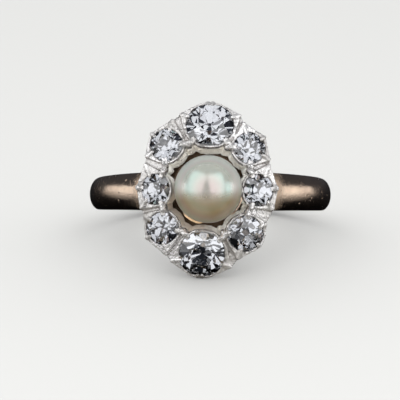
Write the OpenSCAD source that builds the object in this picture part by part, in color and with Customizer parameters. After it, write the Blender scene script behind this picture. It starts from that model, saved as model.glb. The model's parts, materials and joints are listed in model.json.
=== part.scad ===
// Pearl and diamond cluster ring with a long pointed-oval head.
// It lies on its side as it rests by itself: on the claw at the foot of the head and on the back of
// the hoop. Lengths are millimetres and angles degrees. +Z is up, and the head faces -Y.

/* [Finger hoop] */
// Diameter of the bore that the finger goes through
finger_bore = 17.3; // [16.5:0.1:18.1]
// Thickness of the hoop at the middle of its width
hoop_thick = 1.2; // [1.05:0.05:1.4]
// Thickness of the hoop at its rounded edges
hoop_edge = 0.4; // [0.3:0.05:0.5]
// Width of the hoop at the back of the finger
back_width = 1.9; // [1.7:0.05:2.1]
// Width of the hoop at the sides of the finger
side_width = 2.55; // [2.4:0.05:2.7]
// Width of the shoulders where they meet the head
shoulder_width = 3; // [2.8:0.05:3.1]

/* [Pearl] */
// Diameter of the pearl
pearl_d = 5.25; // [5:0.05:5.3]
// Height of the pearl's centre above the finger
pearl_rise = 4.75; // [4.65:0.05:4.95]
// Diameter of the peg that the half-drilled pearl is fixed on
peg_d = 0.8; // [0.7:0.05:0.9]

/* [Diamonds] */
// Diameter of the two main diamonds, at the top and the bottom of the head
main_stone = 3.64; // [3.5:0.01:3.7]
// Diameter of the four corner diamonds
corner_stone = 2.5; // [2.4:0.01:2.6]
// Diameter of the two side diamonds, over the shoulders
side_stone = 2.34; // [2.2:0.01:2.4]
// Table diameter as a part of the stone's diameter
table_part = 0.48; // [0.42:0.01:0.54]
// Crown height as a part of the stone's diameter
crown_part = 0.17; // [0.15:0.01:0.19]
// Pavilion depth as a part of the stone's diameter
pavilion_part = 0.43; // [0.4:0.01:0.44]

/* [Head] */
// Distance of the main diamonds from the pearl's axis, along the finger
main_along = 5.06; // [5:0.02:5.2]
// Distance of the corner diamonds from the pearl's axis, along the finger
corner_along = 3.27; // [3.2:0.01:3.3]
// Distance of the corner diamonds from the pearl's axis, across the finger
corner_across = 3.3; // [3.25:0.01:3.4]
// Distance of the side diamonds from the pearl's axis, across the finger
side_across = 4; // [3.9:0.02:4.1]
// Radius of the dome that the diamonds are set on
dome_r = 14; // [13:0.5:16]
// Height of the dome's top above the finger
dome_rise = 2.9; // [2.8:0.05:3.1]
// Depth of the silver below the girdles of the diamonds
silver_depth = 1.72; // [1.5:0.01:1.8]
// Least thickness of the silver wall round a diamond
collet_wall = 0.22; // [0.18:0.02:0.28]

/* [Hidden] */

// Gap between two pieces that meet
gap = 0.03;

// Diamonds: [kind, side across, side along, shift across, shift along, size across, size outward].
// The shifts and sizes are the unevenness of old hand-cut stones, the sizes as parts of the kind's.
TOP = ["main", 0, 1, 0.08, 0.04, 1.015, 0.95];
BOTTOM = ["main", 0, -1, -0.5, 0.08, 0.975, 0.98];
UPPER_LEFT = ["corner", -1, 1, -0.02, 0.23, 1, 1.04];
UPPER_RIGHT = ["corner", 1, 1, -0.14, 0.02, 0.96, 1];
LOWER_LEFT = ["corner", -1, -1, -0.28, 0.28, 0.97, 1.02];
LOWER_RIGHT = ["corner", 1, -1, -0.42, -0.11, 1.08, 1.12];
LEFT = ["side", -1, 0, -0.12, 0.04, 1, 0.95];
RIGHT = ["side", 1, 0, -0.12, 0, 1.04, 1];
STONES = [TOP, UPPER_RIGHT, RIGHT, LOWER_RIGHT, BOTTOM, LOWER_LEFT, LEFT, UPPER_LEFT];

// Claws at the outer corners of a collet and grains between the stones, both as rows of
// [turn from outward, reach from the stone's centre, radius]. A turn above zero goes towards the
// nearer main stone, or from a side stone towards the top one.
MAIN_CLAWS = [[-6, 1.87, 0.17], [6, 1.87, 0.17], [-70, 2.42, 0.17], [70, 2.42, 0.17]];
CORNER_CLAWS = [[-9, 1.52, 0.17], [55, 2, 0.17], [-75, 1.74, 0.17]];
SIDE_CLAWS = [[6, 1.42, 0.24], [66, 2.08, 0.17], [-51, 1.84, 0.17]];
MAIN_GRAINS = [[-137, 2.33, 0.25], [137, 2.33, 0.25]];
CORNER_GRAINS = [[134, 1.72, 0.25], [-135, 1.7, 0.25]];
SIDE_GRAINS = [[115, 1.68, 0.25], [-115, 1.68, 0.25]];
// How far a claw's tip lies in over the stone, and its width there as a part of the claw's
claw_grip = 0.24;
claw_narrow = 0.8;
// Heights above the girdle of a claw's foot, of its back and of its tip over the stone
claw_foot = -0.35;
claw_back = 0.1;
claw_rise = 0.26;
// How far a claw stands proud of its collet's corner, and the sides that it is filed to
claw_proud = 0.04;
claw_sides = 8;
// Height of a collet's rim above the girdle
rim_rise = 0.05;
// Narrowing of a collet down to its foot, and how far it runs past the silver's back untrimmed
collet_taper = 0.9;
collet_over = 0.27;
// Web that joins two neighbouring collets, below their girdles, and the turn that tells the claw
// on its side of a collet from the claws in the middle
web_drop = 0.2;
web_turn = 30;
// Width of the light hole behind a stone in the silver, as a part of the stone's, and of its
// cone in the gold, as parts of the backing's radius at both ends. Then the cone's reach.
seat_part = 0.8;
hole_narrow = 0.31;
hole_wide = 0.76;
hole_deep = 6;
hole_over = 1.2;

// Girdle thickness, culet width, and how far the crown's and the pavilion's inner facets reach
girdle_part = 0.025;
culet_part = 0.07;
star_part = 0.56;
lower_part = 0.74;
// Squareness of the girdle's outline, where 2 is round
cushion = 2.25;
// Main facets round a stone, and the girdle's, two to each of them
mains = 8;
girdles = 2 * mains;
main_step = 360 / mains;
girdle_step = main_step / 2;

// Gold plate under the head, raised a little from the finger, and the cones that stand on it
plate_relief = 0.15;
plate_thick = 0.65;
backing_top = 0.98;
backing_foot = 0.8;
backing_deep = 3;
plate_scallop = 0.86;

// Cup under the pearl: thickness, height of its points, half width and turn
cup_thick = 0.28;
cup_drop = 0.85;
cup_half = 2.36;
cup_turn = 16;
stem_r = 0.85;
peg_length = 2.2;

// Hoop: [angle from the back, value], the last rows being the strip under the head
under_width = 2.2;
under_thick = 0.68;
HOOP_WIDTHS = [[0, back_width], [90, side_width], [145, shoulder_width], [160, shoulder_width],
    [172, under_width], [180, under_width]];
HOOP_THICKS = [[0, hoop_thick], [146, hoop_thick], [164, under_thick], [180, under_thick]];
hoop_rings = 60;
hoop_arc_step = 15;
// Worn inner corners, and how far the swept section runs in below the bore
inner_ease = 0.12;
sink = 0.4;

finger_r = finger_bore / 2;
pearl_r = pearl_d / 2;
pearl_n = finger_r + pearl_rise;
dome_centre = finger_r + dome_rise - dome_r;
plate_r = finger_r + plate_relief + plate_thick;
cup_r = pearl_r + gap + cup_thick;
head_reach = 12;
far = 40;
// Sides of the large trimming surfaces, and of the hollow for the cup
wide_sides = 120;
cup_sides = 48;

// Rest: the double claw of the bottom stone and the back of the hoop touch the surface
tips = [for (claw = [MAIN_CLAWS[0], MAIN_CLAWS[1]])
    head_point(BOTTOM, concat(claw_at(BOTTOM, claw, claw[1]), 0) + [0, claw[2], claw_back])];
tip = tips[0][1] < tips[1][1] ? tips[0] : tips[1];
back_r = finger_r + hoop_edge;
function back_support(t) = norm([back_width / 2 * cos(t), (hoop_thick - hoop_edge) * sin(t)]);
function settle(t, rounds) = rounds == 0 ? t
    : settle(asin((-tip[1] * cos(t) - back_support(t)) / (tip[2] + back_r)), rounds - 1);
rest_tilt = settle(15, 12);
rest_height = -tip[1] * cos(rest_tilt) - tip[2] * sin(rest_tilt);
back_y = back_r * cos(rest_tilt)
    + norm([back_width / 2 * sin(rest_tilt), (hoop_thick - hoop_edge) * cos(rest_tilt)]);
front_y = pearl_n * cos(rest_tilt) + pearl_r;
rest_shift = (front_y - back_y) / 2;

module posed() {
    translate([0, rest_shift, rest_height]) rotate([-rest_tilt, 0, 0]) children();
}

// The head's own frame: x across the finger, y along it, z out from the bore's centre
module head_frame() {
    rotate([90, 0, 0]) children();
}

function kind_size(stone) = stone[0] == "main" ? main_stone
    : stone[0] == "corner" ? corner_stone : side_stone;
function kind_claws(stone) = stone[0] == "main" ? MAIN_CLAWS
    : stone[0] == "corner" ? CORNER_CLAWS : SIDE_CLAWS;
function kind_grains(stone) = stone[0] == "main" ? MAIN_GRAINS
    : stone[0] == "corner" ? CORNER_GRAINS : SIDE_GRAINS;
function kind_place(stone) = stone[0] == "main" ? [0, main_along]
    : stone[0] == "corner" ? [corner_across, corner_along] : [side_across, 0];
function place(stone) = [kind_place(stone)[0] * stone[1] + stone[3],
    kind_place(stone)[1] * stone[2] + stone[4]];
function bearing(stone) = atan2(place(stone)[1], place(stone)[0]);
function lean(stone) = asin(norm(place(stone)) / dome_r);
function half_sizes(stone) = kind_size(stone) / 2 * [stone[5], stone[6]];
// On which side of a stone the main stone lies that its claws are turned towards
function main_side(stone) = (stone[1] > 0) == (stone[2] >= 0) && stone[1] != 0 ? -1 : 1;

// A point given across, outward and out of the dome at a stone's place, in the head's frame
function head_point(stone, p) = let(
    out = (dome_r + p[2]) * sin(lean(stone)) + p[1] * cos(lean(stone)),
    turn = bearing(stone)) [
        out * cos(turn) + p[0] * sin(turn), out * sin(turn) - p[0] * cos(turn),
        dome_centre + (dome_r + p[2]) * cos(lean(stone)) - p[1] * sin(lean(stone))];

// Puts x across, y outward and z out of the dome at a stone's place
module on_dome(stone) {
    translate([0, 0, dome_centre]) rotate([0, 0, bearing(stone) - 90]) rotate([-lean(stone), 0, 0])
        translate([0, 0, dome_r]) children();
}

// Girdle radius of a cushion outline in a direction measured from the x axis
function girdle(half, angle) = 1 / pow(pow(abs(cos(angle)) / half[0], cushion)
    + pow(abs(sin(angle)) / half[1], cushion), 1 / cushion);
function around(r, angle, z) = [r * cos(angle), r * sin(angle), z];

// Where two neighbouring main facets meet at a height, given how far out each of them is there
function meet(near, next, angle, z) = [
    (near * sin(angle + main_step) - next * sin(angle)) / sin(main_step),
    (next * cos(angle) - near * cos(angle + main_step)) / sin(main_step), z];

// Old-cut stone: table, 8 stars, 8 kites, 16 upper and 16 lower girdle facets, 8 mains and a culet
module old_cut(half, size, grow = 0) {
    band = girdle_part * size / 2 + grow;
    crown = crown_part * size;
    depth = pavilion_part * size;
    waist = [for (i = [0:girdles - 1]) girdle(half, i * girdle_step) + grow];
    wide = [for (k = [0:mains - 1]) waist[2 * k]];
    top = [for (k = [0:mains - 1]) wide[k] * table_part];
    foot = culet_part * size / 2;
    function crown_out(k, part) = wide[k % mains] + (top[k % mains] - wide[k % mains]) * part;
    function lower_out(k, part) = wide[k % mains] + (foot - wide[k % mains]) * part;
    points = concat(
        [for (i = [0:girdles - 1]) around(waist[i], i * girdle_step, band)],
        [for (i = [0:girdles - 1]) around(waist[i], i * girdle_step, -band)],
        [for (k = [0:mains - 1]) around(top[k], k * main_step, band + crown)],
        [for (k = [0:mains - 1]) meet(crown_out(k, star_part), crown_out(k + 1, star_part), k * main_step,
            band + crown * star_part)],
        [for (k = [0:mains - 1]) meet(lower_out(k, lower_part), lower_out(k + 1, lower_part), k * main_step,
            -band - depth * lower_part)],
        [for (k = [0:mains - 1]) meet(foot, foot, k * main_step, -band - depth)]);
    function upper(i) = i % girdles;
    function lower(i) = girdles + i % girdles;
    function table(k) = 2 * girdles + k % mains;
    function star(k) = 2 * girdles + mains + k % mains;
    function joint(k) = 3 * girdles + k % mains;
    function culet(k) = 3 * girdles + mains + k % mains;
    faces = concat(
        [[for (k = [mains - 1:-1:0]) table(k)]],
        [for (k = [0:mains - 1]) [table(k), table(k + 1), star(k)]],
        [for (k = [0:mains - 1]) [table(k), star(k), upper(2 * k), star(k + mains - 1)]],
        [for (k = [0:mains - 1]) [upper(2 * k), star(k), upper(2 * k + 1)]],
        [for (k = [0:mains - 1]) [upper(2 * k + 1), star(k), upper(2 * k + 2)]],
        [for (i = [0:girdles - 1]) [upper(i), upper(i + 1), lower(i + 1), lower(i)]],
        [for (k = [0:mains - 1]) [lower(2 * k), lower(2 * k + 1), joint(k)]],
        [for (k = [0:mains - 1]) [lower(2 * k + 1), lower(2 * k + 2), joint(k)]],
        [for (k = [0:mains - 1]) [lower(2 * k), joint(k), culet(k), culet(k + mains - 1),
            joint(k + mains - 1)]],
        [[for (k = [0:mains - 1]) culet(k)]]);
    polyhedron(points, faces, convexity = 4);
}

module diamond(stone) {
    color([0.86, 0.89, 0.94]) posed() head_frame() on_dome(stone)
        old_cut(half_sizes(stone), kind_size(stone));
}
module diamond_top() { diamond(TOP); }
module diamond_bottom() { diamond(BOTTOM); }
module diamond_upper_left() { diamond(UPPER_LEFT); }
module diamond_upper_right() { diamond(UPPER_RIGHT); }
module diamond_left() { diamond(LEFT); }
module diamond_right() { diamond(RIGHT); }
module diamond_lower_left() { diamond(LOWER_LEFT); }
module diamond_lower_right() { diamond(LOWER_RIGHT); }

// Outline of a stone's girdle, grown or shrunk by a part of itself and by a width
module girdle_outline(stone, part = 1, grow = 0) {
    polygon([for (i = [0:girdles - 1]) let(r = girdle(half_sizes(stone), i * girdle_step) * part + grow)
        [r * cos(i * girdle_step), r * sin(i * girdle_step)]]);
}

function claw_at(stone, claw, out) = let(turn = claw[0] * main_side(stone))
    [out * sin(turn), out * cos(turn)];

// Tapered silver wall round a stone, straight between its claws on the outside
module collet(stone) {
    translate([0, 0, rim_rise]) mirror([0, 0, 1])
        linear_extrude(height = rim_rise + silver_depth + collet_over, scale = collet_taper) hull() {
            girdle_outline(stone, 1, collet_wall);
            for (claw = kind_claws(stone))
                translate(claw_at(stone, claw, claw[1]))
                    circle(r = claw[2] - claw_proud, $fn = claw_sides);
        }
}

// One claw: a ridge from the collet's corner in over the edge of the stone
module claw_ridge(stone, claw) {
    turn = claw[0] * main_side(stone);
    tip_out = girdle(half_sizes(stone), 90 - turn) - claw_grip;
    hull() {
        translate(concat(claw_at(stone, claw, claw[1]), claw_foot))
            cylinder(r = claw[2], h = claw_back - claw_foot, $fn = claw_sides);
        translate(concat(claw_at(stone, claw, tip_out), 0))
            cylinder(r = claw[2] * claw_narrow, h = claw_rise, $fn = claw_sides);
    }
}

// The claw or grain of a stone that faces its neighbour, clockwise above zero
function facing(stone, rows, way) =
    [for (row = rows) if (row[0] * main_side(stone) * way > web_turn) row][0];

module web_post(stone, row) {
    on_dome(stone) translate(concat(claw_at(stone, row, row[1]), -silver_depth))
        cylinder(r = row[2] - claw_proud, h = silver_depth - web_drop, $fn = claw_sides);
}

// Web between two neighbouring collets, from the outline of the head in to the grains
module web(stone, next) {
    hull() {
        web_post(stone, facing(stone, kind_claws(stone), 1));
        web_post(stone, facing(stone, kind_grains(stone), 1));
        web_post(next, facing(next, kind_claws(next), -1));
        web_post(next, facing(next, kind_grains(next), -1));
    }
}

module silver_setting() {
    color([0.82, 0.82, 0.8]) posed() head_frame() difference() {
        union() {
            for (stone = STONES) on_dome(stone) {
                collet(stone);
                for (claw = concat(kind_claws(stone), kind_grains(stone))) claw_ridge(stone, claw);
            }
            for (i = [0:len(STONES) - 1]) web(STONES[i], STONES[(i + 1) % len(STONES)]);
        }
        for (stone = STONES) on_dome(stone) {
            old_cut(half_sizes(stone), kind_size(stone), gap);
            translate([0, 0, -silver_depth * 2]) linear_extrude(silver_depth * 2)
                girdle_outline(stone, seat_part);
        }
        translate([0, 0, dome_centre]) sphere(r = dome_r - silver_depth + gap, $fn = wide_sides);
        translate([0, 0, pearl_n]) sphere(r = cup_r + gap, $fn = cup_sides);
        rotate([90, 0, 0]) cylinder(r = plate_r + gap, h = far, center = true, $fn = wide_sides);
    }
}

// Rounded section of the hoop: [across, height above the bore]
function hoop_section(width, thick) = let(half = width / 2) concat(
    [[half - inner_ease, -sink], [half - inner_ease, gap], [half, inner_ease]],
    [for (a = [90:-hoop_arc_step:-90]) [half * sin(a), hoop_edge + (thick - hoop_edge) * cos(a)]],
    [[-half, inner_ease], [inner_ease - half, gap], [inner_ease - half, -sink]]);

module hoop() {
    sections = [for (i = [0:hoop_rings - 1]) let(a = i * 360 / hoop_rings, back = min(a, 360 - a))
        [for (p = hoop_section(lookup(back, HOOP_WIDTHS), lookup(back, HOOP_THICKS)))
            [(finger_r + p[1]) * sin(a), (finger_r + p[1]) * cos(a), p[0]]]];
    m = len(sections[0]);
    polyhedron([for (section = sections) each section],
        [for (i = [0:hoop_rings - 1]) for (j = [0:m - 1]) let(n = (i + 1) % hoop_rings, k = (j + 1) % m)
            [i * m + j, i * m + k, n * m + k, n * m + j]], convexity = 8);
}

function backing_r(stone) = (half_sizes(stone)[0] + half_sizes(stone)[1]) / 2 + collet_wall;
// Where a stone's axis meets the finger side of the plate
function foot(stone) = let(out = (finger_r - dome_centre) * tan(lean(stone)))
    [out * cos(bearing(stone)), out * sin(bearing(stone))];

// Curved plate that closes the back of the head round the finger, scalloped like the cluster
module plate() {
    intersection() {
        head_frame() linear_extrude(head_reach) {
            polygon([for (stone = STONES) foot(stone)]);
            for (stone = STONES) translate(foot(stone)) circle(r = backing_r(stone) * plate_scallop);
        }
        difference() {
            cylinder(r = plate_r, h = far, center = true);
            cylinder(r = finger_r + plate_relief, h = far, center = true);
        }
    }
}

// Gold cones that back the silver collets, down to the plate
module backings() {
    head_frame() intersection() {
        for (stone = STONES) on_dome(stone) translate([0, 0, -backing_deep])
            cylinder(r1 = backing_r(stone) * backing_foot, r2 = backing_r(stone) * backing_top,
                h = backing_deep - silver_depth + gap);
        translate([0, 0, dome_centre]) sphere(r = dome_r - silver_depth);
    }
}

// Light holes behind the stones
module light_holes() {
    head_frame() for (stone = STONES) on_dome(stone) translate([0, 0, -hole_deep])
        cylinder(r1 = backing_r(stone) * hole_narrow, r2 = backing_r(stone) * hole_wide,
            h = hole_deep - silver_depth + hole_over);
}

// Four-pointed cup on a stem, with the peg for the pearl
module pearl_cup() {
    head_frame() {
        translate([0, 0, pearl_n]) difference() {
            intersection() {
                sphere(r = cup_r);
                rotate([0, 0, cup_turn]) translate([-cup_half, -cup_half, -far])
                    cube([2 * cup_half, 2 * cup_half, far - cup_drop]);
            }
            sphere(r = pearl_r + gap);
        }
        translate([0, 0, plate_r - plate_thick / 2])
            cylinder(r = stem_r, h = pearl_n - pearl_r - gap - cup_thick / 2 - plate_r + plate_thick / 2);
        translate([0, 0, pearl_n - pearl_r - cup_thick])
            cylinder(d = peg_d, h = peg_length + cup_thick);
    }
}

module gold_mount() {
    color([0.72, 0.5, 0.34]) posed() {
        difference() {
            union() {
                hoop();
                plate();
                difference() {
                    backings();
                    cylinder(r = finger_r + plate_relief, h = far, center = true);
                }
            }
            cylinder(r = finger_r, h = far, center = true);
            light_holes();
        }
        pearl_cup();
    }
}

module pearl() {
    color([0.86, 0.84, 0.77]) posed() head_frame() translate([0, 0, pearl_n]) difference() {
        sphere(r = pearl_r);
        translate([0, 0, -far]) cylinder(d = peg_d + 2 * gap, h = far - pearl_r + peg_length + gap);
    }
}

gold_mount();
silver_setting();
pearl();
diamond_top();
diamond_bottom();
diamond_upper_left();
diamond_upper_right();
diamond_left();
diamond_right();
diamond_lower_left();
diamond_lower_right();
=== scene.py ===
import json
import math
import random

import bmesh
import bpy
from mathutils import Matrix, Quaternion, Vector, noise


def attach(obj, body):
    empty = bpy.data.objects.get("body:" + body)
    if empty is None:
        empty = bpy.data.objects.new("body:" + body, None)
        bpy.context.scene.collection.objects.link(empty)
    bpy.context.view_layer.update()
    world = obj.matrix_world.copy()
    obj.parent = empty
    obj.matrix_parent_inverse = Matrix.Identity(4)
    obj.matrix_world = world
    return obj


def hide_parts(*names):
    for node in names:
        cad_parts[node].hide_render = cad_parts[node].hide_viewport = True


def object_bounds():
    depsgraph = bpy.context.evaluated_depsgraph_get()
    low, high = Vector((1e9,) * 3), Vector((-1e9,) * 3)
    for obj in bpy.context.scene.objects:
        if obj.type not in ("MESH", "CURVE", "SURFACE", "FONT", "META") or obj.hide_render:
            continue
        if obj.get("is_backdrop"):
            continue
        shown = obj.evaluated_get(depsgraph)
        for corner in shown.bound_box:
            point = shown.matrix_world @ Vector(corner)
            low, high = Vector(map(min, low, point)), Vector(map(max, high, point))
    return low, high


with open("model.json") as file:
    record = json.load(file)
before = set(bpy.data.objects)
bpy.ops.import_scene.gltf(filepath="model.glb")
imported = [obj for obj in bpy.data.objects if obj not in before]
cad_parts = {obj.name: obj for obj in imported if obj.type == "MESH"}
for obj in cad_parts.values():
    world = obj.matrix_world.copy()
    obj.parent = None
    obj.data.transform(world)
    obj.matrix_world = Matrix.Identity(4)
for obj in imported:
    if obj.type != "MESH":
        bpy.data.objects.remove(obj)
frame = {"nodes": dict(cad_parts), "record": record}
cad_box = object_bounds()

# Gold mount: one soldered piece of rose gold. It is a rounded shank that widens to the shoulders, a
# curved plate under the head with a pierced cone behind each stone, and a pointed cup on a stem for
# the pearl. It is cast, soldered and polished, and long wear has softened every edge.
MM = 0.001
bore = next(m for m in frame["record"]["mounts"] if m["name"] == "finger_bore")
across = Vector((1, 0, 0))
along = Vector(bore["axis"]).normalized()
outward = across.cross(along)
# The ring's own frame in mm, from the bore's centre: across, along the finger, out to the head
ring_frame = (Matrix.Translation(bore["pos_m"])
              @ Matrix((across, along, outward)).transposed().to_4x4() @ Matrix.Scale(MM, 4))
finger_r = bore["dims"]["r_mm"]

# The shank's greatest thickness, and how far out from the bore its round outside starts
shank_thick, shank_edge = 1.2, 0.4
# Half of its inside, from the edge in: the part of half the width, and the distance from the bore
SHANK_INSIDE = [(0.995, 0.14), (0.97, 0.04), (0.9, 0.0), (0.45, 0.0), (0.0, 0.0)]
# Turn in degrees from the back of the finger, width and thickness
SHANK = [(0, 1.9, 1.2), (90, 2.55, 1.2), (145, 3.0, 1.2), (160, 3.0, 0.78), (172, 2.2, 0.68),
         (180, 2.2, 0.68)]
shank_steps, arc_steps = 180, 24
# Turn at which the shank has passed into the head
head_turn = 142


def shank_size(turn):
    """Width and thickness of the shank at a turn from the back of the finger."""
    for (a, width_a, thick_a), (b, width_b, thick_b) in zip(SHANK, SHANK[1:]):
        if turn <= b:
            part = (turn - a) / (b - a)
            return width_a + (width_b - width_a) * part, thick_a + (thick_b - thick_a) * part
    return SHANK[-1][1:]


def shank_turn(co):
    """Turn of a point in degrees from the back of the finger, the same on both sides."""
    return math.degrees(math.atan2(abs(co.x), -co.z))


def swept_shank():
    """The shank, spun from its widest section and then eased to its width and thickness."""
    bm = bmesh.new()
    arc = [(math.sin(t), shank_edge + (shank_thick - shank_edge) * math.cos(t))
           for t in (math.pi * (i / arc_steps - 0.5) for i in range(arc_steps + 1))]
    inner = SHANK_INSIDE + [(-w, h) for w, h in reversed(SHANK_INSIDE[:-1])]
    ring = [bm.verts.new((0, w, -(finger_r + h))) for w, h in arc + inner]
    edges = [bm.edges.new((a, b)) for a, b in zip(ring, ring[1:] + ring[:1])]
    bmesh.ops.spin(bm, geom=ring + edges, cent=(0, 0, 0), axis=(0, 1, 0), angle=2 * math.pi,
                   steps=shank_steps, use_merge=True)
    for v in bm.verts:
        width, thick = shank_size(shank_turn(v.co))
        away = math.hypot(v.co.x, v.co.z)
        height = away - finger_r
        if height > shank_edge:
            height = shank_edge + ((height - shank_edge) * (thick - shank_edge)
                                   / (shank_thick - shank_edge))
        v.co.x *= (finger_r + height) / away
        v.co.z *= (finger_r + height) / away
        v.co.y *= width / 2
    bmesh.ops.recalc_face_normals(bm, faces=bm.faces)
    return bm


def join(bm, added):
    """Adds the shells of one bmesh to another."""
    spare = bpy.data.meshes.new("spare")
    added.to_mesh(spare)
    added.free()
    bm.from_mesh(spare)
    bpy.data.meshes.remove(spare)


# Points of a CAD node nearer to each other than this are one
same_point = 0.0005


def node_copy(name):
    """The CAD node's mesh in the ring's frame, with its loose triangles merged."""
    node = frame["nodes"][name]
    bm = bmesh.new()
    bm.from_mesh(node.data)
    bmesh.ops.transform(bm, matrix=ring_frame.inverted() @ node.matrix_world, verts=bm.verts)
    bmesh.ops.remove_doubles(bm, verts=bm.verts, dist=same_point)
    return bm


def cast(bm, grain, polish):
    """Fuses the closed shells of a bmesh into one skin with softened edges."""
    rough = bpy.data.objects.new("rough", bpy.data.meshes.new("rough"))
    bm.to_mesh(rough.data)
    bm.free()
    bpy.context.scene.collection.objects.link(rough)
    remesh = rough.modifiers.new("skin", "REMESH")
    remesh.mode = "VOXEL"
    remesh.voxel_size = grain
    remesh.adaptivity = 0
    fused = bmesh.new()
    fused.from_mesh(rough.evaluated_get(bpy.context.evaluated_depsgraph_get()).to_mesh())
    bpy.data.objects.remove(rough)
    for _ in range(polish):
        bmesh.ops.smooth_vert(fused, verts=fused.verts, factor=0.5,
                              use_axis_x=True, use_axis_y=True, use_axis_z=True)
    return fused


def piece(name, bm, slot, *nodes, smooth=True, **shares):
    """Makes a finished bmesh a piece that stands for CAD nodes, with shares of finishes and of darkening on
    it.
    """
    bm.normal_update()
    masks = {label: [share(v) for v in bm.verts] for label, share in shares.items()}
    bmesh.ops.transform(bm, matrix=ring_frame, verts=bm.verts)
    mesh = bpy.data.meshes.new(name)
    bm.to_mesh(mesh)
    bm.free()
    for polygon in mesh.polygons:
        polygon.use_smooth = smooth
    for label, values in masks.items():
        mesh.attributes.new(label, "FLOAT", "POINT").data.foreach_set("value", values)
    made = bpy.data.objects.new(name, mesh)
    bpy.context.scene.collection.objects.link(made)
    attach(made, "root")
    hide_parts(*nodes)
    return made


# What lapping takes off the outside, and how far from the true round it still reaches the skin
lapped, outside_reach, inside_reach = 0.005, 0.06, 0.05
# How near the edge it goes, as 1 less the square of the part of half the width
outside_inset, inside_inset = 0.02, 0.35


def true_shank(bm):
    """Brings the cast skin of the shank back to its exact round, as lapping does."""
    for v in bm.verts:
        turn = shank_turn(v.co)
        if turn > head_turn:
            continue
        width, thick = shank_size(turn)
        away = math.hypot(v.co.x, v.co.z)
        inset = 1 - (2 * v.co.y / width) ** 2
        if inset <= outside_inset:
            continue
        top = shank_edge + (thick - shank_edge) * math.sqrt(inset)
        for height, reach in ((top - lapped, outside_reach), (0.0, inside_reach)):
            if abs(away - finger_r - height) < reach and (height or inset > inside_inset):
                v.co.x *= (finger_r + height) / away
                v.co.z *= (finger_r + height) / away


def held(value):
    """A value held between 0 and 1."""
    return min(1, max(0, value))


# The pearl's centre above the bore, and the radius of the cup about it
pearl_rise, cup_r = 4.75, 3.1
# The satin points: within a radius, above a height, below a line, and how each of these fades
point_r, point_rise, point_line = 3.0, 3.1, -1.6
point_fades = (0.1, 0.3, 0.5)
# The polish: it fades over this turn at the shoulders and this depth in the cup, up to a line. Above the
# line the cup is left unpolished, so that it takes the gold's painted shade
shoulder_fade, cup_fade, cup_line = 12, 0.3, -0.6


def cup_point(v):
    """1 on the points of the cup below the pearl, which have a bright satin finish."""
    depths = (point_r - math.hypot(v.co.x, v.co.y), v.co.z - finger_r - point_rise,
              point_line - v.co.y)
    inside, high, low = (held(depth / fade) for depth, fade in zip(depths, point_fades))
    return inside * high * low


def under_head(v):
    """1 where the mount wasn't polished: the plate, the cones, and the cup round the pearl. This zone is
    painted near-black as shade, all but the cup's points.
    """
    beside_cup = (v.co - Vector((0, 0, finger_r + pearl_rise))).length - cup_r
    past_shoulder = held((shank_turn(v.co) - head_turn) / shoulder_fade)
    return max(past_shoulder * held(max(beside_cup / cup_fade, v.co.y - cup_line)), cup_point(v))


def painted_gold_shade(v):
    """How far the unpolished gold is painted dark as shade, which is everywhere but on the cup's points."""
    return 1 - cup_point(v)


mount_bm = node_copy("gold_mount")
join(mount_bm, swept_shank())
mount_bm = cast(mount_bm, grain=0.09, polish=3)
true_shank(mount_bm)
# Its darkening share is painted shade on the unpolished gold: near-black everywhere but on the cup's points
mount = piece("rose_gold_mount", mount_bm, "gold", "gold_mount", matt=under_head, stain=painted_gold_shade)


def blend(tree, factor, a, b):
    """A colour mixed from two colours or colour sockets by a factor."""
    mix = tree.nodes.new("ShaderNodeMix")
    mix.data_type = "RGBA"
    for socket, value in ((mix.inputs[0], factor), (mix.inputs[6], a), (mix.inputs[7], b)):
        if isinstance(value, bpy.types.NodeSocket):
            tree.links.new(value, socket)
        else:
            socket.default_value = value
    return mix.outputs[2]


def spread(tree, value, low, high, to_low=0.0, to_high=1.0):
    """A value stretched from low..high to to_low..to_high and held there."""
    node = tree.nodes.new("ShaderNodeMapRange")
    tree.links.new(value, node.inputs["Value"])
    for label, number in (("From Min", low), ("From Max", high), ("To Min", to_low),
                          ("To Max", to_high)):
        node.inputs[label].default_value = number
    return node.outputs["Result"]


def maths(tree, operation, a, b):
    """The result of a sum on two values or value sockets."""
    node = tree.nodes.new("ShaderNodeMath")
    node.operation = operation
    for socket, value in zip(node.inputs, (a, b)):
        if isinstance(value, bpy.types.NodeSocket):
            tree.links.new(value, socket)
        else:
            socket.default_value = value
    return node.outputs[0]


def fine_noise(tree, place, scale, detail):
    """Noise of a size, in cells to the metre, on the object's own coordinates."""
    node = tree.nodes.new("ShaderNodeTexNoise")
    node.inputs["Scale"].default_value = scale
    node.inputs["Detail"].default_value = detail
    tree.links.new(place, node.inputs["Vector"])
    return node.outputs[0]


# Two lies of fine scratches: how their noise is turned, and its cells to the metre on each axis
SCRATCH_LIES = [((0.3, 0.2, 0.5), (900, 14000, 900)), ((1.1, -0.4, 1.9), (14000, 1100, 1100))]
# Cells to the metre of the pits, the cloudy film and the grain
pit_cells, film_cells, grain_cells = 2600, 420, 4600
# Ranges over which noise becomes a scratch and the film thickens
scratch_range, film_range = (0.64, 0.76), (0.35, 0.65)
# Range over which a cell gets a pit, and distances from its centre over which the pit's wall rises
pit_range, pit_edge = (0.6, 0.75), (0.1, 0.26)
# Depths of the scratches and the grain, as parts of a pit's
scratch_depth, grain_depth = 0.4, 0.35
# How far a hollow is felt for, and the range of openness over which its dirt and painted shade thin out
hollow_reach, hollow_range = 0.8, (0.25, 0.85)


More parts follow.
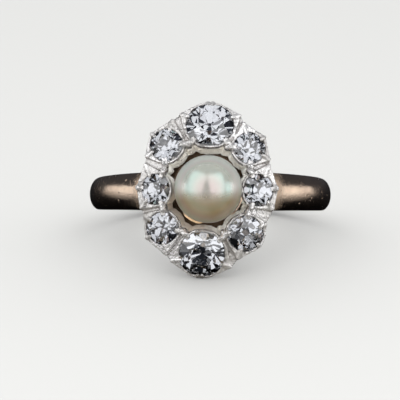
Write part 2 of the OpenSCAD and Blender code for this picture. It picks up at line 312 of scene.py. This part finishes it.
def worn_metal():
    """Wear that both metals share: fine scratches, pits, a cloudy film, and dirt with painted shade in
    hollows.
    """
    group = bpy.data.node_groups.new("worn_metal", "ShaderNodeTree")
    for label in ("Scratches", "Pits"):
        group.interface.new_socket(label, in_out="INPUT", socket_type="NodeSocketFloat")
    for label in ("Height", "Cloud", "Scratches", "Hollow"):
        group.interface.new_socket(label, in_out="OUTPUT", socket_type="NodeSocketFloat")
    given, result = group.nodes.new("NodeGroupInput"), group.nodes.new("NodeGroupOutput")
    place = group.nodes.new("ShaderNodeTexCoord").outputs["Object"]
    lines = []
    for turn, stretch in SCRATCH_LIES:
        lie = group.nodes.new("ShaderNodeMapping")
        lie.inputs["Rotation"].default_value = turn
        lie.inputs["Scale"].default_value = stretch
        group.links.new(place, lie.inputs["Vector"])
        lines.append(spread(group, fine_noise(group, lie.outputs[0], 1, 2), *scratch_range))
    scratches = maths(group, "MULTIPLY", maths(group, "MAXIMUM", *lines),
                      given.outputs["Scratches"])
    cell = group.nodes.new("ShaderNodeTexVoronoi")
    cell.inputs["Scale"].default_value = pit_cells
    group.links.new(place, cell.inputs["Vector"])
    few = spread(group, cell.outputs["Color"], *pit_range)
    pits = maths(group, "MULTIPLY", spread(group, cell.outputs["Distance"], *pit_edge, 1, 0),
                 maths(group, "MULTIPLY", few, given.outputs["Pits"]))
    # Dirt with painted shade: how closed in a point is, read from occlusion, darkens the metals' colour
    hollow = group.nodes.new("ShaderNodeAmbientOcclusion")
    hollow.samples = 4
    hollow.inputs["Distance"].default_value = hollow_reach * MM
    marks = maths(group, "ADD", maths(group, "MULTIPLY", scratches, scratch_depth), pits)
    grain = maths(group, "MULTIPLY", fine_noise(group, place, grain_cells, 3), grain_depth)
    cloud = spread(group, fine_noise(group, place, film_cells, 5), *film_range)
    depth = spread(group, hollow.outputs["AO"], *hollow_range, 1, 0)
    for label, value in (("Height", maths(group, "SUBTRACT", grain, marks)), ("Cloud", cloud),
                         ("Scratches", scratches), ("Hollow", depth)):
        group.links.new(value, result.inputs[label])
    return group


wear = worn_metal()
# How sharp and how strong the film's patches on the cast skin are, and what a scratch roughens
patch_edge, patch_share, scratch_rough = 3.0, 0.3, 0.12


def metal(name, bright, dull, dirt_and_shade_tone, metallic, smooth, rough, scratches, pits, relief_depth,
          cast_bright, cast_dull, cast_rough, cast_metallic):
    """A metal: bright and dull colours, the dirt with painted shade in its hollows, its gloss, wear and
    cast skin.
    """
    made = bpy.data.materials.new(name)
    made.use_nodes = True
    tree = made.node_tree
    shader = tree.nodes["Principled BSDF"]
    marks = tree.nodes.new("ShaderNodeGroup")
    marks.node_tree = wear
    marks.inputs["Scratches"].default_value = scratches
    marks.inputs["Pits"].default_value = pits
    shares = []
    for label in ("matt", "stain"):
        share = tree.nodes.new("ShaderNodeAttribute")
        share.attribute_name = label
        shares.append(share.outputs["Fac"])
    matt, stain = shares
    cloud = marks.outputs["Cloud"]
    patches = maths(tree, "MULTIPLY", maths(tree, "POWER", cloud, patch_edge), patch_share)
    # The cast skin turns to its dull colour under the film's patches and the darkening share, which on the
    # gold is painted shade
    film_and_darkening = maths(tree, "MAXIMUM", patches, stain)
    # Painted shade with dirt: the hollows darken the colour of the polished faces
    dirt_and_shade = maths(tree, "MULTIPLY", marks.outputs["Hollow"], spread(tree, matt, 0, 1, 1, 0))
    face = blend(tree, matt, blend(tree, cloud, (*bright, 1), (*dull, 1)),
                 blend(tree, film_and_darkening, (*cast_bright, 1), (*cast_dull, 1)))
    tree.links.new(blend(tree, dirt_and_shade, face, (*dirt_and_shade_tone, 1)), shader.inputs["Base Color"])
    gloss = maths(tree, "ADD", spread(tree, cloud, 0, 1, smooth, rough),
                  maths(tree, "MULTIPLY", marks.outputs["Scratches"], scratch_rough))
    gap = maths(tree, "SUBTRACT", cast_rough, gloss)
    tree.links.new(maths(tree, "ADD", gloss, maths(tree, "MULTIPLY", gap, matt)),
                   shader.inputs["Roughness"])
    tree.links.new(spread(tree, matt, 0, 1, metallic, cast_metallic), shader.inputs["Metallic"])
    relief = tree.nodes.new("ShaderNodeBump")
    relief.inputs["Distance"].default_value = relief_depth * MM
    tree.links.new(marks.outputs["Height"], relief.inputs["Height"])
    tree.links.new(relief.outputs[0], shader.inputs["Normal"])
    return made


# On the gold, cast_dull is a near-black painted shade on the plate, the cones and the cup under the head,
# and the tone in the hollows is dirt with painted shade
mount.data.materials.append(metal(
    "old_rose_gold", bright=(0.78, 0.61, 0.47), dull=(0.64, 0.48, 0.36), dirt_and_shade_tone=(0.07, 0.04, 0.02),
    metallic=1.0, smooth=0.16, rough=0.26, scratches=0.5, pits=1.0, relief_depth=0.024,
    cast_bright=(1.0, 0.74, 0.46), cast_dull=(0.07, 0.045, 0.026), cast_rough=0.5,
    cast_metallic=0.75))

# Silver setting: eight tapered silver collets soldered side by side, so that their stones look
# white. Each is filed flat between its claws on the outside, stays round towards the pearl, and has
# its claws and grains pushed over the stone's edge and burnished.

# Kind, place across and along the finger, and the size across and outward as parts of the kind's
STONES = {
    "diamond_top": ("main", 0.08, 5.1, 1.015, 0.95),
    "diamond_upper_right": ("corner", 3.16, 3.29, 0.96, 1.0),
    "diamond_right": ("side", 3.88, 0.0, 1.04, 1.0),
    "diamond_lower_right": ("corner", 2.88, -3.38, 1.08, 1.12),
    "diamond_bottom": ("main", -0.5, -4.98, 0.975, 0.98),
    "diamond_lower_left": ("corner", -3.58, -2.99, 0.97, 1.02),
    "diamond_left": ("side", -4.12, 0.04, 1.0, 0.95),
    "diamond_upper_left": ("corner", -3.32, 3.5, 1.0, 1.04)}
# The dome that the girdles lie on: its radius, and its top above the bore
dome_r, dome_rise = 14, 2.9
# Turn from outward, reach and radius of the burnished beads on the grains and the claws
BEADS = {
    "main": [(-137, 2.16, 0.25), (137, 2.16, 0.25), (-70, 1.86, 0.17), (70, 1.86, 0.17)],
    "corner": [(134, 1.58, 0.25), (-135, 1.56, 0.25), (55, 1.34, 0.16), (-75, 1.3, 0.16)],
    "side": [(115, 1.5, 0.25), (-115, 1.5, 0.25), (66, 1.26, 0.16), (-51, 1.26, 0.16),
             (6, 1.38, 0.27)]}
bead_height = 0.12


def seat(stone):
    """Places x across, y outward and z out of the dome at a stone, in the ring's frame."""
    _, u, v, _, _ = stone
    bearing, lean = math.atan2(v, u), math.asin(math.hypot(u, v) / dome_r)
    return (Matrix.Translation((0, 0, finger_r + dome_rise - dome_r))
            @ Matrix.Rotation(bearing - math.pi / 2, 4, "Z") @ Matrix.Rotation(-lean, 4, "X")
            @ Matrix.Translation((0, 0, dome_r)))


def main_side(stone):
    """-1 for the stones whose beads are mirrored, so that all suit the large stone beside them."""
    return -1 if stone[0] != "main" and (stone[1] > 0) == (stone[2] >= 0) else 1


# The cast walls start below the girdles and fade in with depth and with how they face
cast_start, cast_fade, facing_fade = 0.1, 0.3, 0.4
# Strength of the brown, and where it ends up and to the right, each with its fade
brown, brown_up, brown_up_fade, brown_right, brown_right_fade = 0.7, 1.0, 1.5, 0.8, 1.2


def facing_pearl(v):
    """1 where the silver was left as cast, on the collet walls that face the pearl; there its near-white
    colour is partly the cast finish and partly painted light.
    """
    depth = dome_r - (v.co - Vector((0, 0, finger_r + dome_rise - dome_r))).length
    facing = -(v.normal.x * v.co.x + v.normal.y * v.co.y) / math.hypot(v.co.x, v.co.y)
    return held((depth - cast_start) / cast_fade) * held(facing / facing_fade)


def darker_lower_left(v):
    """How far the cast silver is darker and browner, which is towards the lower left of the pearl."""
    return (brown * held((brown_up - v.co.y) / brown_up_fade)
            * held((brown_right - v.co.x) / brown_right_fade))


silver_bm = node_copy("silver_setting")
for stone in STONES.values():
    for turn, reach, r in BEADS[stone[0]]:
        angle = math.radians(turn * main_side(stone))
        bead = bmesh.new()
        place = Matrix.Translation((reach * math.sin(angle), reach * math.cos(angle), bead_height))
        bmesh.ops.create_icosphere(bead, subdivisions=3, radius=r, matrix=seat(stone) @ place)
        join(silver_bm, bead)
silver_bm = cast(silver_bm, grain=0.066, polish=1)
silver_bm.normal_update()
# The unevenness of hand work: its depth, and its slow and its quick waves
waver, slow_waves, quick_waves, quick_share = 0.03, 2.2, 5.2, 1.5
for v in silver_bm.verts:
    wave = noise.noise(v.co * slow_waves) + quick_share * noise.noise(v.co * quick_waves)
    v.co += v.normal * waver * wave / 2
silver = piece("silver_collets", silver_bm, "silver", "silver_setting",
               matt=facing_pearl, stain=darker_lower_left)
# On the silver, the near-white cast_bright is partly painted light on the walls facing the pearl, and the
# tone in the hollows is dirt with painted shade
silver.data.materials.append(metal(
    "old_silver", bright=(0.93, 0.92, 0.92), dull=(0.64, 0.62, 0.6), dirt_and_shade_tone=(0.2, 0.17, 0.15),
    metallic=0.87, smooth=0.15, rough=0.34, scratches=2.0, pits=1.2, relief_depth=0.25,
    cast_bright=(1.0, 1.0, 0.95), cast_dull=(0.36, 0.26, 0.17), cast_rough=0.5,
    cast_metallic=0.1))

# Pearl: one round pearl, half drilled from below and cemented on the cup's peg. Its nacre is cream
# with a grey-green cast, and shows soft pink and green overtones under the gloss.
pearl_r, drill_r, drill_depth = 2.62, 0.43, 2.23
pearl_bm = bmesh.new()
bmesh.ops.create_uvsphere(pearl_bm, u_segments=128, v_segments=96, radius=pearl_r)
foot_z = -math.sqrt(pearl_r ** 2 - drill_r ** 2)
bmesh.ops.delete(pearl_bm, geom=[f for f in pearl_bm.faces if f.calc_center_median().z < foot_z],
                 context="FACES")
rim = [e for e in pearl_bm.edges if e.is_boundary]
wall = bmesh.ops.extrude_edge_only(pearl_bm, edges=rim)["geom"]
bmesh.ops.translate(pearl_bm, verts=[v for v in wall if isinstance(v, bmesh.types.BMVert)],
                    vec=(0, 0, drill_depth))
bmesh.ops.edgeloop_fill(pearl_bm, edges=[e for e in pearl_bm.edges if e.is_boundary])
bmesh.ops.recalc_face_normals(pearl_bm, faces=pearl_bm.faces)
bmesh.ops.translate(pearl_bm, vec=(0, 0, finger_r + pearl_rise), verts=pearl_bm.verts)
pearl = piece("round_pearl", pearl_bm, "pearl", "pearl")
# Painted light and shade on the pearl: its low half is darker and yellower, as shade and as a painted
# reflection of the gold, and its high half is a lighter lit grey
nacre_in_painted_shade, nacre_painted_lit = (0.122, 0.08, 0.024, 1), (0.165, 0.172, 0.152, 1)
cloudy_nacre = (0.19, 0.186, 0.155, 1)
# Half the height of the band about the pearl's middle in which the low half's painted shade turns to the
# high half's painted light
zone_half = 0.5
# Cells to the metre of its cloudiness and its skin, and how far the clouds colour it
nacre_cells, skin_cells, cloudiness = 330, 2400, 0.4
# Roughness of the skin, and what the edge and the low half add to it
skin_rough, edge_rough, low_rough = (0.21, 0.27), 0.3, 0.1
nacre = bpy.data.materials.new("pearl_nacre")
nacre.use_nodes = True
tree = nacre.node_tree
shader = tree.nodes["Principled BSDF"]
place = tree.nodes.new("ShaderNodeTexCoord").outputs["Object"]
cloud = spread(tree, fine_noise(tree, place, nacre_cells, 3), 0.35, 0.65)
height = tree.nodes.new("ShaderNodeSeparateXYZ")
tree.links.new(place, height.inputs[0])
pearl_z = (ring_frame @ Vector((0, 0, finger_r + pearl_rise))).z
# Painted shade below the pearl's middle and painted light above it
shade_zone = spread(tree, height.outputs["Z"], pearl_z - zone_half * MM, pearl_z + zone_half * MM)
body = blend(tree, shade_zone, nacre_in_painted_shade, nacre_painted_lit)
tint = blend(tree, spread(tree, cloud, 0, 1, 0, cloudiness), body, cloudy_nacre)
tree.links.new(tint, shader.inputs["Base Color"])
skin = fine_noise(tree, place, skin_cells, 4)
facing = tree.nodes.new("ShaderNodeLayerWeight").outputs["Facing"]
softer = maths(tree, "MAXIMUM", spread(tree, facing, 0.3, 0.45, 0, edge_rough),
               spread(tree, shade_zone, 0.2, 0.8, low_rough, 0))
tree.links.new(maths(tree, "ADD", spread(tree, skin, 0.3, 0.7, *skin_rough), softer),
               shader.inputs["Roughness"])
relief = tree.nodes.new("ShaderNodeBump")
relief.inputs["Strength"].default_value = 0.04
relief.inputs["Distance"].default_value = 0.01 * MM
tree.links.new(skin, relief.inputs["Height"])
tree.links.new(relief.outputs[0], shader.inputs["Normal"])
# Far above nacre's own index, for the strength of the lustre
shader.inputs["IOR"].default_value = 4.4
shader.inputs["Thin Film Thickness"].default_value = 1060
shader.inputs["Thin Film IOR"].default_value = 1.4
shader.inputs["Subsurface Weight"].default_value = 0.15
shader.inputs["Subsurface Radius"].default_value = (1, 0.9, 0.7)
shader.inputs["Subsurface Scale"].default_value = 0.4 * MM
shader.inputs["Coat Weight"].default_value = 0.5
shader.inputs["Coat Roughness"].default_value = 0.22
shader.inputs["Coat IOR"].default_value = 1.7
pearl.data.materials.append(nacre)

# Diamonds: eight old-cut stones with small tables, high crowns and open culets, cut and polished by
# hand, so that no two facets of a kind have quite the same angle. The girdles are left bruted.
KIND_SIZES = {"main": 3.64, "corner": 2.5, "side": 2.34}
# Parts of a stone's size
table_part, crown_part, pavilion_part, culet_part, girdle_part = 0.48, 0.17, 0.43, 0.08, 0.025
# How square the outline is: 2 is an ellipse
cushion = 2.25
facets_round = 8
facet_step = 360 / facets_round
crown_slope = math.degrees(math.atan(crown_part / (0.5 - table_part / 2)))
pavilion_slope = math.degrees(math.atan(pavilion_part / (0.5 - culet_part / 2)))
upper_girdle_slope, lower_girdle_slope = crown_slope + 5, pavilion_slope + 1.8
star_slope = crown_slope * 0.6
# Turn of the first of eight facets, slope from the girdle's plane, and side of the girdle
FACETS = [(0, crown_slope, 1), (facet_step / 4, upper_girdle_slope, 1),
          (-facet_step / 4, upper_girdle_slope, 1), (0, pavilion_slope, -1),
          (facet_step / 4, lower_girdle_slope, -1), (-facet_step / 4, lower_girdle_slope, -1)]
# How far a facet slips in turn and in slope, in degrees, and the seed of each stone's own slips
turn_slip, slope_slip = 2.2, 1.7
SLIPS = {"diamond_top": 40, "diamond_upper_right": 501, "diamond_right": 402,
         "diamond_lower_right": 103, "diamond_bottom": 104, "diamond_lower_left": 405,
         "diamond_left": 606, "diamond_upper_left": 507}


def girdle(half, turn):
    """Girdle radius of a cushion outline at a turn from the across axis."""
    c, s = abs(math.cos(turn)) / half[0], abs(math.sin(turn)) / half[1]
    return 1 / (c ** cushion + s ** cushion) ** (1 / cushion)


def cut(bm, out, z, turn, slope, side):
    """Grinds one facet at a distance out and a height: what lies beyond it goes."""
    at = Vector((out * math.cos(turn), out * math.sin(turn), z))
    normal = Vector((math.sin(slope) * math.cos(turn), math.sin(slope) * math.sin(turn),
                     side * math.cos(slope)))
    ground = bmesh.ops.bisect_plane(bm, geom=bm.verts[:] + bm.edges[:] + bm.faces[:], plane_co=at,
                                    plane_no=normal, clear_outer=True, dist=1e-6)
    edges = [e for e in ground["geom_cut"] if isinstance(e, bmesh.types.BMEdge)]
    if len(edges) > 2:
        bmesh.ops.edgeloop_fill(bm, edges=edges)


def old_cut(size, half, hand):
    """A stone with z out of its table, each facet cut at its own slightly uneven angle."""
    bm = bmesh.new()
    band = girdle_part * size / 2
    for v in bmesh.ops.create_circle(bm, cap_ends=True, radius=1, segments=32)["verts"]:
        turn = math.atan2(v.co.y, v.co.x)
        out = girdle(half, turn)
        v.co = (out * math.cos(turn), out * math.sin(turn), -size / 2)
    raised = bmesh.ops.extrude_face_region(bm, geom=bm.faces[:])["geom"]
    bmesh.ops.translate(bm, vec=(0, 0, size),
                        verts=[v for v in raised if isinstance(v, bmesh.types.BMVert)])
    bmesh.ops.recalc_face_normals(bm, faces=bm.faces)
    for first, slope, side in FACETS:
        for k in range(facets_round):
            turn = math.radians(first + k * facet_step + hand.uniform(-turn_slip, turn_slip))
            cut(bm, girdle(half, turn), side * band, turn,
                math.radians(slope + hand.uniform(-slope_slip, slope_slip)), side)
    table = band + crown_part * size
    for k in range(facets_round):
        turn = math.radians((k + 0.5) * facet_step + hand.uniform(-turn_slip, turn_slip))
        cut(bm, girdle(half, turn) * table_part * math.cos(math.pi / facets_round), table, turn,
            math.radians(star_slope + hand.uniform(-slope_slip, slope_slip)), 1)
    cut(bm, 0, table, 0, 0, 1)
    cut(bm, 0, -band - pavilion_part * size, 0, 0, -1)
    return bm


# How much of its tint the haze leaves a stone
haze_tone = 0.96


def diamond_glass(name, tint, scale, smooth, rough):
    """Diamond with a haze of a size, between a smooth and a rough value."""
    made = bpy.data.materials.new(name)
    made.use_nodes = True
    tree = made.node_tree
    shader = tree.nodes["Principled BSDF"]
    haze = fine_noise(tree, tree.nodes.new("ShaderNodeTexCoord").outputs["Object"], scale, 3)
    tree.links.new(spread(tree, haze, 0.45, 0.75, smooth, rough), shader.inputs["Roughness"])
    hazy = tuple(c * haze_tone for c in tint)
    tone = blend(tree, spread(tree, haze, 0.3, 0.7), (*tint, 1), (*hazy, 1))
    tree.links.new(tone, shader.inputs["Base Color"])
    shader.inputs["IOR"].default_value = 2.42
    shader.inputs["Transmission Weight"].default_value = 1
    return made


clear = diamond_glass("old_cut_diamond", tint=(0.9, 0.92, 0.965), scale=700, smooth=0.0, rough=0.02)
greyer = diamond_glass("small_old_cut_diamond", tint=(0.79, 0.81, 0.86), scale=700, smooth=0.0,
                       rough=0.02)
bruted = diamond_glass("bruted_girdle", tint=(0.9, 0.9, 0.88), scale=9000, smooth=0.35, rough=0.6)
# Faces that lean less than this from upright are the girdle's
girdle_lean = 0.2
for name, stone in STONES.items():
    kind, _, _, wide, deep = stone
    size = KIND_SIZES[kind]
    stone_bm = old_cut(size, (size / 2 * wide, size / 2 * deep), random.Random(SLIPS[name]))
    for face in stone_bm.faces:
        face.material_index = 1 if abs(face.normal.z) < girdle_lean else 0
    bmesh.ops.transform(stone_bm, matrix=seat(stone), verts=stone_bm.verts)
    made = piece(name + "_old_cut", stone_bm, "diamond", name, smooth=False)
    made.data.materials.append(clear if kind == "main" else greyer)
    made.data.materials.append(bruted)

# Floor, light and camera: a pale floor that is matt to the eye and dark in the ring's gloss, and a
# pale surround that lights only what scatters light. Two large soft panels stand before the ring
# and two low ones at its sides, and they make all that shines on it.
dark, floor_tone = (0, 0, 0, 1), (0.22, 0.22, 0.215, 1)
floor_glow, floor_bounce = (0.08, 0.08, 0.08, 1), (3.6, 3.4, 3.0, 1)
floor_bm = bmesh.new()
bmesh.ops.create_grid(floor_bm, x_segments=1, y_segments=1, size=3)
floor_mesh = bpy.data.meshes.new("floor")
floor_bm.to_mesh(floor_mesh)
floor_bm.free()
floor = bpy.data.objects.new("floor", floor_mesh)
bpy.context.scene.collection.objects.link(floor)
floor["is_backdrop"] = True
floor_mat = bpy.data.materials.new("pale_floor")
floor_mat.use_nodes = True
tree = floor_mat.node_tree
shader = tree.nodes["Principled BSDF"]
path = tree.nodes.new("ShaderNodeLightPath").outputs
tree.links.new(blend(tree, path["Is Camera Ray"], dark, floor_tone), shader.inputs["Base Color"])
tree.links.new(spread(tree, path["Is Camera Ray"], 0, 1, 0.06, 0.6), shader.inputs["Roughness"])
bounce = blend(tree, path["Is Diffuse Ray"], dark, floor_bounce)
tree.links.new(blend(tree, path["Is Camera Ray"], bounce, floor_glow),
               shader.inputs["Emission Color"])
shader.inputs["Emission Strength"].default_value = 1
shader.inputs["Specular IOR Level"].default_value = 0.2
floor_mesh.materials.append(floor_mat)

air_seen, air_light, air_gloss = (0.8, 0.8, 0.79, 1), (3.6, 3.6, 3.6, 1), (0.05, 0.054, 0.065, 1)
world = bpy.data.worlds.new("studio")
bpy.context.scene.world = world
world.use_nodes = True
tree = world.node_tree
path = tree.nodes.new("ShaderNodeLightPath").outputs
air = blend(tree, path["Is Diffuse Ray"], air_gloss, air_light)
tree.links.new(blend(tree, path["Is Camera Ray"], air, air_seen),
               tree.nodes["Background"].inputs["Color"])

# Azimuth to the right of the front, elevation and roll in degrees, width and height in metres, glow
PANELS = {"left_panel": (-49, 32, 8, 0.33, 0.39, 1.1),
          "left_side_panel": (-98, 2.5, 17, 0.24, 0.11, 1.0),
          "right_panel": (36, 32, -8, 0.3, 0.39, 1.2),
          "right_side_panel": (90, 4, -20, 0.3, 0.13, 1.25)}
panel_aim, panel_distance = ring_frame @ Vector((0, 0, finger_r + 3)), 0.3


def stand(thing, aim, distance, azimuth, elevation, roll=0):
    """Puts a lamp or a camera in the scene at a distance from its aim, and turns it there."""
    a, e = math.radians(azimuth), math.radians(elevation)
    back = Vector((math.sin(a) * math.cos(e), -math.cos(a) * math.cos(e), math.sin(e)))
    thing.location = aim + back * distance
    thing.rotation_mode = "QUATERNION"
    thing.rotation_quaternion = ((-back).to_track_quat("-Z", "Y")
                                 @ Quaternion((0, 0, 1), math.radians(roll)))
    bpy.context.scene.collection.objects.link(thing)


for name, (azimuth, elevation, roll, width, height, glow) in PANELS.items():
    data = bpy.data.lights.new(name, "AREA")
    data.shape = "RECTANGLE"
    data.size, data.size_y = width, height
    data.energy = glow * math.pi * width * height
    panel = bpy.data.objects.new(name, data)
    panel.visible_camera = False
    stand(panel, panel_aim, panel_distance, azimuth, elevation, roll)

camera_aim = Vector((-0.00079, 0, 0.004))
focal_px, frame_px, sensor = 2786, 400, 36
camera = bpy.data.objects.new("camera", bpy.data.cameras.new("camera"))
camera.data.sensor_width = sensor
camera.data.lens = focal_px / frame_px * sensor
camera.data.clip_start, camera.data.clip_end = 0.01, 20
stand(camera, camera_aim, distance=0.225, azimuth=0.95, elevation=15.6)
bpy.context.scene.camera = camera
bpy.context.scene.view_settings.view_transform = "Standard"

size = {"cad": [list(corner) for corner in cad_box], "visual": [list(corner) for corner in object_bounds()]}
